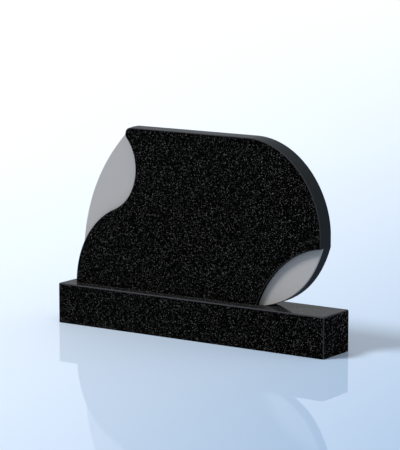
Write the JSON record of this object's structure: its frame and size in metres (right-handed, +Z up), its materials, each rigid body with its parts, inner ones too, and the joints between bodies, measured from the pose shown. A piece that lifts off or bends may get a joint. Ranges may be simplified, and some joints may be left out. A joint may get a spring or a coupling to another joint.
{
  "type": "headstone",
  "caption": "Horizontal headstone: a shaped slab of polished black stone, its face cut away to an S-curved edge and a leaf-shaped sunk field, standing on a low rectangular plinth.",
  "frame": {"origin": "middle of the plinth's underside, on the ground", "axes": "+Z up, +X along the slab's length to the right as one faces the polished face, +Y from the polished face towards the back"},
  "size_m": [1.2, 0.178, 0.777],
  "materials": {
    "polished_stone": "polished black gabbro with fine grey speckle, the sunk fields sandblasted to a matt light grey"
  },
  "bodies": {
    "root": {"headstone": "polished_stone", "plinth": "polished_stone"}
  },
  "joints": []
}
